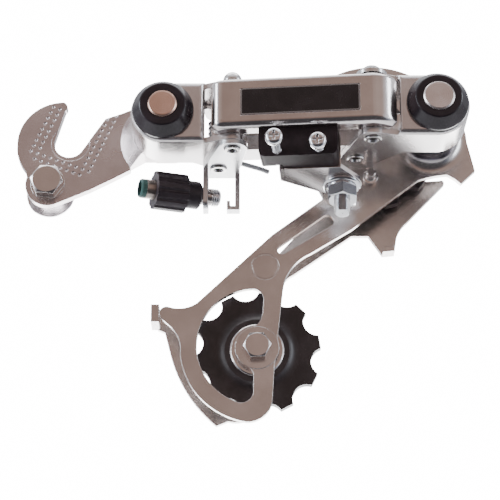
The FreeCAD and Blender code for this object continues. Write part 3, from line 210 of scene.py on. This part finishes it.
def metal(name, colour, rough, scratch=(1, 1, 1), grain=0.15, spots=0.0, edge=0.35, metallic=1.0):
    """Plated steel: fine grain, faint handling scratches, duller patches and eased edges."""
    n = Nodes(name)
    n.shader.inputs["Metallic"].default_value = metallic
    patches = n.noise(PATCH_SCALE, 6.0)
    tone = n.ramp(patches, "Fac", (0.35, grey(0.86, colour)), (0.68, grey(1.0, colour)))
    n.link(tone, "Color", n.shader, "Base Color")
    rough_patch = n.remap(patches, "Fac", rough * 0.7, rough * 1.4)
    n.link(rough_patch, "Result", n.shader, "Roughness")
    ease_edges(n, edge)
    n.bump_over(n.noise(GRAIN_SCALE, 2.0, scratch), "Fac", grain, GRAIN_HEIGHT)
    long_scratch = n.noise(SCRATCH_SCALE, 1.0, (1, 1, 14))
    n.bump_over(long_scratch, "Fac", grain * 0.3, SCRATCH_HEIGHT)
    if spots:
        pits = n.add("ShaderNodeTexVoronoi", Scale=PIT_SCALE)
        n.link(n.mapped((1, 1, 1)), "Vector", pits, "Vector")
        n.bump_over(pits, "Distance", spots, PIT_HEIGHT)
    return n


def plastic(name, colour, rough, grain=0.1, edge=0.25, specular=0.5):
    """Moulded plastic: fine texture, slightly uneven gloss and dusty patches."""
    n = Nodes(name)
    n.shader.inputs["Specular IOR Level"].default_value = specular
    dust = n.noise(DUST_SCALE, 8.0)
    tone = n.ramp(dust, "Fac", (0.4, grey(1.0, colour)), (0.8, grey(1.9, colour)))
    n.link(tone, "Color", n.shader, "Base Color")
    gloss = n.remap(dust, "Fac", rough * 0.8, rough * 1.3)
    n.link(gloss, "Result", n.shader, "Roughness")
    ease_edges(n, edge)
    n.bump_over(n.noise(TEXTURE_SCALE, 2.0), "Fac", grain, SCRATCH_HEIGHT)
    return n


def paint_hole_shade(n, reach, depth):
    """Painted shade: darken what lies deep in holes and corners, within reach in mm, where less light
    gets in.
    """
    near = n.add("ShaderNodeAmbientOcclusion", samples=8, Distance=reach * MM)
    shade = n.ramp(near, "AO", (0.35, grey(depth)), (0.85, grey(1.0)))
    n.paint_over(1.0, shade.outputs["Color"], "MULTIPLY")


def paint_cup_shade(n, centre, radius, face, colour):
    """Painted shade on the drawn spring cup: inside radius and outboard of face, both in mm, the base
    colour is darkened to stand in for the shade round the cup.
    """
    shift = n.vector_math("SUBTRACT", n.coords, "Object", centre)
    flat = n.vector_math("MULTIPLY", shift, 0, (1, 0, 1))
    length = n.vector_math("LENGTH", flat, 0)
    near = n.step(length, "Value", (radius + 1.6) * MM, (radius + 0.2) * MM)
    parts = n.add("ShaderNodeSeparateXYZ")
    n.link(n.coords, "Object", parts, "Vector")
    outboard = n.scalar_math("LESS_THAN", parts, "Y", face * MM)
    both = n.scalar_math("MULTIPLY", near, "Result", outboard.outputs[0])
    n.paint_over(both.outputs[0], colour)


def lathe_marks(n, centre, pitch, strength):
    """Turning marks, pitch mm apart, round a Y axis through centre."""
    shift = n.add("ShaderNodeMapping")
    shift.inputs["Location"].default_value = (-centre.x, 0, -centre.z)
    n.link(n.coords, "Object", shift, "Vector")
    rings = n.add("ShaderNodeTexWave", wave_type="RINGS", rings_direction="Y",
                  Scale=1 / (pitch * MM) / math.tau, Distortion=0.6)
    n.link(shift, "Vector", rings, "Vector")
    n.bump_over(rings, "Fac", strength, LATHE_HEIGHT)


def link_frame(n):
    """Coordinates along and across the front link, from its middle."""
    turn = n.add("ShaderNodeMapping", vector_type="TEXTURE")
    turn.inputs["Location"].default_value = middle("link_badge")
    turn.inputs["Rotation"].default_value = (0, 0, LINK_TURN)
    n.link(n.coords, "Object", turn, "Vector")
    return turn


def badge_material():
    """Plain black film with a thin pale border and rounded corners, no lettering."""
    n = plastic("badge_film", (0.014, 0.0105, 0.0115), 0.25, grain=0.02, edge=0.1)
    corner = 0.5 * MM
    border_long, border_tall = 0.45 * MM, 0.4 * MM
    low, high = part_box("link_badge")
    half_long = (high.x - low.x) / 2 / math.cos(LINK_TURN) - border_long
    half_tall = (high.z - low.z) / 2 - border_tall
    fold = n.vector_math("ABSOLUTE", link_frame(n), "Vector")
    inset = n.vector_math("SUBTRACT", fold, 0, (half_long - corner, 1.0, half_tall - corner))
    outside = n.vector_math("MAXIMUM", inset, 0, (0, 0, 0))
    length = n.vector_math("LENGTH", outside, 0)
    border = n.scalar_math("GREATER_THAN", length, "Value", corner)
    n.paint_over(border.outputs[0], (0.22, 0.19, 0.18, 1))
    return n


plate = metal("plated_steel", (0.82, 0.77, 0.75), 0.16, spots=0.1)
knuckle = metal("knuckle_plate", (0.82, 0.78, 0.77), 0.22, grain=0.35, spots=0.15, metallic=0.94)
claw = metal("claw_plate", (0.80, 0.735, 0.735), 0.25, scratch=(1, 1, 4), grain=0.3, spots=0.15)
cage = metal("cage_plate", (0.80, 0.75, 0.725), 0.21, scratch=(5, 1, 1), grain=0.35, spots=0.08)
# Painted shade: the cup round the cage pivot gets a dark base colour in place of the shade it sits in
paint_cup_shade(cage, pivot("cage_pivot"), radius=8.4, face=-4.2, colour=(0.115, 0.105, 0.125, 1))
bright = metal("bright_hardware", (0.88, 0.88, 0.90), 0.12, edge=0.25)
bracket = metal("bracket_plate", (0.86, 0.86, 0.87), 0.32, grain=0.3)
rivet = metal("rivet_plate", (0.84, 0.82, 0.81), 0.2, edge=0.25)
# Painted shade in the rivets' holes and corners, darkened by the ambient occlusion
paint_hole_shade(rivet, reach=2.5, depth=0.04)
ferrule = metal("ferrule_plate", (0.50, 0.44, 0.40), 0.28, edge=0.25)
wire = metal("spring_wire", (0.27, 0.27, 0.28), 0.4, grain=0.3)
bronze = metal("sintered_bronze", (0.55, 0.40, 0.24), 0.45, grain=0.5)
b_disc = metal("b_bolt_face", (0.84, 0.57, 0.46), 0.28, grain=0.3)
lathe_marks(b_disc, pivot("b_pivot"), pitch=0.35, strength=0.35)
p_disc = metal("p_bolt_face", (0.84, 0.75, 0.72), 0.28, grain=0.3)
lathe_marks(p_disc, pivot("cage_pivot"), pitch=0.35, strength=0.35)
cap_black = plastic("cap_plastic", (0.019, 0.014, 0.018), 0.17, specular=0.4)
block_black = plastic("block_plastic", (0.024, 0.0175, 0.019), 0.45, grain=0.05, specular=0.06)
wheel_black = plastic("wheel_plastic", (0.031, 0.024, 0.0255), 0.33, grain=0.25)
knob_black = plastic("knob_plastic", (0.034, 0.026, 0.032), 0.4, grain=0.3)
seal_green = plastic("seal_plastic", (0.045, 0.115, 0.105), 0.45, grain=0.4)
badge = badge_material()

LOOKS = {
    "hanger_plate": claw, "hanger_bolt": plate, "hanger_nut": bright,
    "b_knuckle": knuckle, "p_knuckle": knuckle, "rear_link": knuckle,
    "b_axle_bolt": b_disc, "p_axle_bolt": p_disc,
    "b_cap": cap_black, "p_cap": cap_black, "b_bushing": bronze, "p_bushing": bronze,
    "b_spring": wire, "p_spring": wire, "return_spring": wire,
    "front_link": plate, "link_badge": badge, "limit_block": block_black,
    "adjuster_knob": knob_black, "ferrule_seal": seal_green, "housing_ferrule": ferrule,
    "outer_cage_plate": cage, "inner_cage_plate": cage,
    "guide_pulley": wheel_black, "tension_pulley": wheel_black,
    "anchor_washer": bright, "anchor_nut": bright, "anchor_bolt": bright,
    "limit_screw_low": bright, "limit_screw_high": bright, "cable_bracket": bracket,
    "pivot_pin_front_b": rivet, "pivot_pin_rear_b": rivet,
    "pivot_pin_front_p": rivet, "pivot_pin_rear_p": rivet,
}

for name, node in frame["nodes"].items():
    node.data.materials.clear()
    node.data.materials.append(LOOKS.get(name, plate).material)
    node.data.polygons.foreach_set("use_smooth", [True] * len(node.data.polygons))
    smooth = node.modifiers.new("sharp_edges", "EDGE_SPLIT")
    smooth.split_angle = math.radians(28)


# ---------- threads ----------

def thread_sleeve(name, body, start, direction, length, root, crest, pitch, bore=None):
    """Rolled thread round a plain shank, as a closed ring; lengths in mm, start in metres."""
    around, rings_per_turn = 40, 10
    run_out = 0.6 * pitch
    rings = round(length / pitch * rings_per_turn)
    turn = direction.to_track_quat("Z", "X")
    profile = []
    for ring in range(rings + 1):
        along = length * ring / rings
        fade = min(1.0, min(along, length - along) / run_out)
        row = []
        for side in range(around):
            phase = (along / pitch - side / around) % 1
            row.append(root + (crest - root) * fade * (1 - abs(2 * phase - 1)))
        profile.append((along, row))
    wall = [bore or root - 0.1] * around
    profile = [(0, wall)] + profile + [(length, wall)]
    verts, faces = [], []
    for along, row in profile:
        for side, radius in enumerate(row):
            angle = math.tau * side / around
            local = Vector((radius * math.cos(angle), radius * math.sin(angle), along)) * MM
            verts.append(start + turn @ local)
    for ring in range(len(profile)):
        here, there = ring * around, (ring + 1) % len(profile) * around
        for side in range(around):
            side_on = (side + 1) % around
            faces.append((here + side, here + side_on, there + side_on, there + side))
    mesh = bpy.data.meshes.new(name)
    mesh.from_pydata(verts, [], faces)
    mesh.materials.append(bright.material)
    sleeve = bpy.data.objects.new(name, mesh)
    bpy.context.scene.collection.objects.link(sleeve)
    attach(sleeve, body)


def link_vector(x, y, z):
    """A direction or offset in the front link's axes, turned into the frame's."""
    cos, sin = math.cos(LINK_TURN), math.sin(LINK_TURN)
    return Vector((x * cos - y * sin, x * sin + y * cos, z))


for name, body, reach in LIMIT_SCREWS:
    thread_sleeve(f"{name}_screw_thread", body, pivot(f"{name}_screw_turn"), link_vector(0, -1, 0),
                  length=reach, root=1.22, crest=1.5, pitch=0.7)
anchor = pivot("front_link_pivot") + link_vector(*ANCHOR_REACH, -ANCHOR_DROP) * MM
anchor_down = link_vector(0, -math.sin(ANCHOR_TILT), -math.cos(ANCHOR_TILT))
thread_sleeve("anchor_thread", "front_arm", anchor + anchor_down * ANCHOR_THREAD_START * MM, anchor_down,
              length=5.0, root=2.3, crest=2.75, pitch=0.8, bore=0.2)
barrel_axis = Vector(JOINTS["adjuster_turn"]["axis"])
barrel_start = pivot("adjuster_turn") + barrel_axis * BARREL_THREAD_START * MM
thread_sleeve("adjuster_thread", "upper_body", barrel_start, barrel_axis,
              length=2.7, root=2.67, crest=3.05, pitch=0.8)


# ---------- stage ----------

def plane(name, width, depth, place, colour, rough):
    """Level sheet of one colour for the object to stand over; sizes in metres."""
    n = Nodes(name)
    n.shader.inputs["Base Color"].default_value = colour
    n.shader.inputs["Roughness"].default_value = rough
    bpy.ops.mesh.primitive_plane_add(size=1, location=place)
    obj = bpy.context.object
    obj.name = name
    obj.scale = (width, depth, 1)
    obj.data.materials.append(n.material)
    obj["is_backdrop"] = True


def softbox(name, width, height, place, target, glow, colour=(1, 1, 1)):
    """Soft rectangular light, in metres, whose face has the given radiance."""
    light = bpy.data.lights.new(name, "AREA")
    light.shape = "RECTANGLE"
    light.size = width
    light.size_y = height
    light.energy = glow * math.pi * width * height
    light.color = colour
    lamp = bpy.data.objects.new(name, light)
    lamp.location = place
    lamp.rotation_euler = (Vector(target) - Vector(place)).to_track_quat("-Z", "Y").to_euler()
    bpy.context.scene.collection.objects.link(lamp)


class World(Nodes):
    """Node tree of the surroundings, with the direction's three parts."""

    def __init__(self, name):
        world = bpy.data.worlds.new(name)
        bpy.context.scene.world = world
        world.use_nodes = True
        self.tree = world.node_tree
        self.tree.nodes.clear()
        self.output = self.add("ShaderNodeOutputWorld")
        self.coords = self.add("ShaderNodeTexCoord")
        self.parts = self.add("ShaderNodeSeparateXYZ")
        self.link(self.coords, "Generated", self.parts, "Vector")

    def over(self, axis, low, high, first, second):
        """Blend first into second while the direction's axis goes from low to high."""
        step = self.step(self.parts, axis, low, high, "SMOOTHSTEP")
        return self.mix(step.outputs["Result"], first, second)


def studio_world():
    """A dim warm room in front, cool at its sides, and a brighter one behind and above."""
    w = World("studio")
    clouds = w.add("ShaderNodeTexNoise", Scale=2.2, Detail=3.0)
    w.link(w.coords, "Generated", clouds, "Vector")
    patchy = w.step(clouds, "Fac", 0.38, 0.62).outputs["Result"]
    room = w.mix(patchy, (0.34, 0.24, 0.205, 1), (0.52, 0.415, 0.38, 1))
    front = w.over("Z", -0.45, -0.05, (0.07, 0.068, 0.075, 1), room)
    side = w.over("Z", -0.6, -0.25, (0.16, 0.21, 0.30, 1), (0.95, 1.0, 1.1, 1))
    sideways = w.scalar_math("ABSOLUTE", w.parts, "X")
    edge_on = w.step(sideways, 0, 0.62, 0.88, "SMOOTHSTEP")
    front = w.mix(edge_on.outputs["Result"], front, side)
    front = w.over("Z", 0.55, 0.85, front, (1.3, 1.32, 1.4, 1))
    back = w.mix(patchy, (0.42, 0.44, 0.50, 1), (1.15, 1.17, 1.23, 1))
    whole = w.over("Y", -0.30, 0.12, front, back)
    lit = w.add("ShaderNodeBackground", Strength=1.0)
    w.feed(whole, lit.inputs["Color"])
    white = w.add("ShaderNodeBackground", Strength=16.0)
    white.inputs["Color"].default_value = (1, 1, 1, 1)
    path = w.add("ShaderNodeLightPath")
    mix = w.add("ShaderNodeMixShader")
    w.link(path, "Is Camera Ray", mix, 0)
    w.link(lit, "Background", mix, 1)
    w.link(white, "Background", mix, 2)
    w.link(mix, "Shader", w.output, "Surface")


FLOOR = -0.42                           # its height, in metres
FOCAL_LENGTH, SENSOR_WIDTH = 125.7, 36  # in mm
CAMERA_PLACE = (0.06218, -0.55088, -0.24965)
CAMERA_PITCH = math.radians(111)        # from straight down, so it looks up by 21 degrees

plane("floor", 16.0, 16.0, (0.06, 7.95, FLOOR), colour=(0.93, 0.93, 0.93, 1), rough=0.6)
studio_world()
low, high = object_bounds()
centre = (low + high) / 2
cool = (0.84, 0.92, 1.0)
softbox("under_glow", 1.6, 0.8, (centre.x, 0.95, FLOOR + 0.03), centre, glow=9.0)
softbox("left_strip", 0.22, 0.7, (-0.75, -0.30, 0.10), centre, glow=10.0, colour=cool)
softbox("right_strip", 0.18, 0.6, (0.85, -0.25, 0.15), centre, glow=7.0, colour=cool)
softbox("top_panel", 0.9, 0.5, (centre.x, 0.10, 0.75), centre, glow=3.0)

camera_data = bpy.data.cameras.new("camera")
camera_data.lens = FOCAL_LENGTH
camera_data.sensor_width = SENSOR_WIDTH
camera_data.clip_start = 0.01
camera = bpy.data.objects.new("camera", camera_data)
camera.location = CAMERA_PLACE
camera.rotation_euler = (CAMERA_PITCH, 0, 0)
bpy.context.scene.collection.objects.link(camera)
bpy.context.scene.camera = camera
